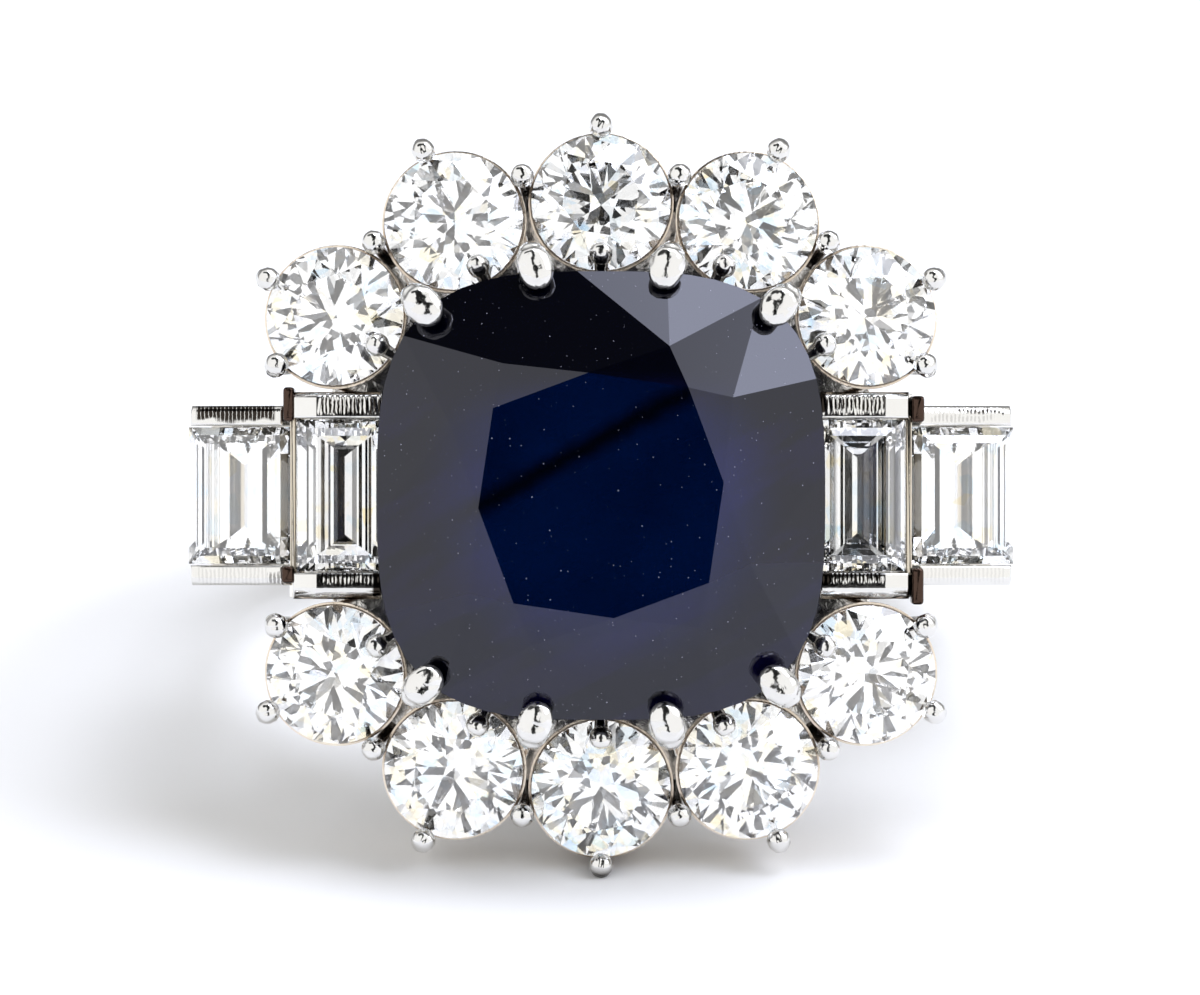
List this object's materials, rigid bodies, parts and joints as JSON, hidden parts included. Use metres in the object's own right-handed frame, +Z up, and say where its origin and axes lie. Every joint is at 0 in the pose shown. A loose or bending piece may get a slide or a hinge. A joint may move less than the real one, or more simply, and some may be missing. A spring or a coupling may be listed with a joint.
{
  "type": "sapphire and diamond cluster ring",
  "caption": "White gold ring with a cushion sapphire framed by round brilliants above and below and stepped baguettes at each shoulder, lying on its side.",
  "frame": {"origin": "middle of the bounding box at floor level, with the ring lying on its side", "axes": "+Z up, +X across the head to the right as seen from the front, the sapphire faces -Y and about 20 degrees upward, and the finger hole's axis leans about 20 degrees from +Z toward +Y"},
  "size_m": [0.0208, 0.0268, 0.018],
  "materials": {
    "white_gold": "polished",
    "sapphire": "polished, near-black navy blue",
    "diamond": "polished, colourless"
  },
  "bodies": {
    "root": {"ring_mount": "white_gold", "sapphire": "sapphire", "brilliant_01": "diamond", "brilliant_02": "diamond", "brilliant_03": "diamond", "brilliant_04": "diamond", "brilliant_05": "diamond", "brilliant_06": "diamond", "brilliant_07": "diamond", "brilliant_08": "diamond", "brilliant_09": "diamond", "brilliant_10": "diamond", "baguette_left_inner": "diamond", "baguette_left_outer": "diamond", "baguette_right_inner": "diamond", "baguette_right_outer": "diamond"}
  },
  "joints": []
}
